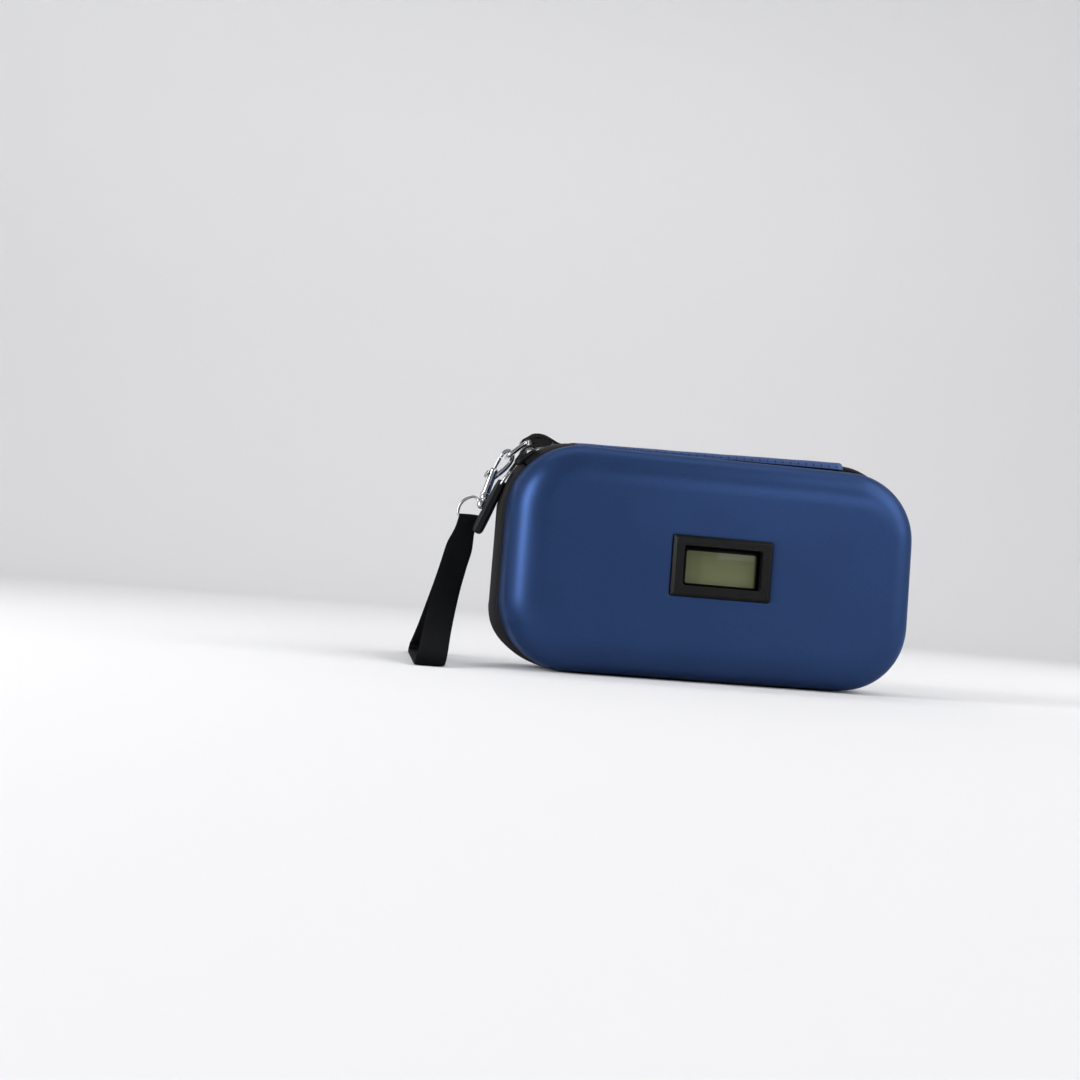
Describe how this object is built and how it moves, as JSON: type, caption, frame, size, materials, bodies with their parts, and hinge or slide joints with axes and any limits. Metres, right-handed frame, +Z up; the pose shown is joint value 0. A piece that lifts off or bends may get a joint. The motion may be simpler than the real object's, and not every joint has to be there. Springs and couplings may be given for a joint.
{
  "type": "insulin cooling case",
  "caption": "Zipped foam-lined clamshell case with a temperature display in its lid, a gel ice pack, pen loops, and a wrist strap on a swivel snap hook.",
  "frame": {"origin": "middle of the lower face of the back shell's rim lip, on the surface the case stands on", "axes": "+X along the case towards its right as the lid is seen, +Y towards the back shell, +Z up towards the hinge"},
  "size_m": [0.2409, 0.1117, 0.1124],
  "materials": {
    "shell_skin": "satin pearl coated skin over moulded foam",
    "hinge_skin": "satin coated fabric",
    "foil_foam": "crinkled foil face on closed-cell foam",
    "zip_tape": "woven tape",
    "zip_coil": "satin monofilament",
    "webbing": "woven webbing",
    "elastic": "ribbed elastic",
    "net": "open knitted mesh",
    "gel_film": "clear film over tinted gel",
    "display_plastic": "fine texture",
    "display_glass": "semi-gloss reflective cell",
    "contact_rubber": "matte",
    "board": "solder mask",
    "cell_steel": "satin",
    "bright_steel": "bright plated",
    "pull_plastic": "satin moulded"
  },
  "bodies": {
    "back_half": {"back_shell": "shell_skin", "back_liner": "foil_foam", "back_zip_tape": "zip_tape", "back_zip_coil": "zip_coil", "joined_zip_tape": "zip_tape", "joined_zip_coil": "zip_coil", "hinge_strip_back": "hinge_skin", "ring_tab": "webbing", "zip_stop_left": "cell_steel", "zip_stop_right": "cell_steel", "gel_pack": "gel_film", "pocket_net": "net", "pocket_band": "elastic"},
    "lid": {"front_shell": "shell_skin", "front_liner": "foil_foam", "front_zip_tape": "zip_tape", "front_zip_coil": "zip_coil", "hinge_strip_front": "hinge_skin", "pen_loop_1": "elastic", "pen_loop_2": "elastic", "pen_loop_3": "elastic", "pen_loop_4": "elastic", "display_frame": "display_plastic", "display_glass": "display_glass", "contact_strip": "contact_rubber", "circuit_board": "board", "button_cell_left": "cell_steel", "button_cell_right": "cell_steel", "rear_cover": "display_plastic", "clip_left": "display_plastic", "clip_right": "display_plastic", "sensor_cap": "cell_steel"},
    "battery_door": {"battery_door": "display_plastic"},
    "slider": {"zip_slider": "bright_steel"},
    "pull": {"pull_bail": "bright_steel", "pull_grip": "pull_plastic"},
    "ring": {"tab_ring": "bright_steel"},
    "hook": {"hook_body": "bright_steel", "gate_pin": "bright_steel", "gate_spring": "bright_steel", "wrist_strap": "webbing"},
    "gate": {"hook_gate": "bright_steel"},
    "swivel": {"swivel_eye": "bright_steel"}
  },
  "joints": [
    {"name": "lid_hinge", "type": "hinge", "parent": "back_half", "child": "lid", "pos_m": [0, -0.0065, 0.1115], "axis": [-1, 0, 0], "range_deg": [0, 165]},
    {"name": "battery_door_pull", "type": "slide", "parent": "lid", "child": "battery_door", "axis": [0, 1, 0], "range_m": [0, 0.008]},
    {"name": "zip_travel", "type": "hinge", "parent": "back_half", "child": "slider", "pos_m": [-0.069, -0.0065, 0.077], "axis": [0, 1, 0], "range_deg": [0, 22]},
    {"name": "pull_swing", "type": "hinge", "parent": "slider", "child": "pull", "pos_m": [-0.09339, -0.0065, 0.10464], "axis": [0, 1, 0], "range_deg": [0, 60]},
    {"name": "ring_swing", "type": "hinge", "parent": "back_half", "child": "ring", "pos_m": [-0.0913, 0.0045, 0.1096], "axis": [0, 1, 0], "range_deg": [0, 50]},
    {"name": "hook_swing", "type": "hinge", "parent": "ring", "child": "hook", "pos_m": [-0.0996, 0.0045, 0.1022], "axis": [0, 1, 0], "range_deg": [0, 70]},
    {"name": "gate_press", "type": "hinge", "parent": "hook", "child": "gate", "pos_m": [-0.10742, 0.0045, 0.08772], "axis": [0, 1, 0], "range_deg": [0, 14], "stiffness_Nm_per_rad": 0.05, "springref_deg": -17.19},
    {"name": "swivel_turn", "type": "hinge", "parent": "hook", "child": "swivel", "pos_m": [-0.10957, 0.0045, 0.07927], "axis": [-0.3987, 0, -0.9171], "range_deg": [-60, 60], "deforming": ["wrist_strap"]}
  ]
}
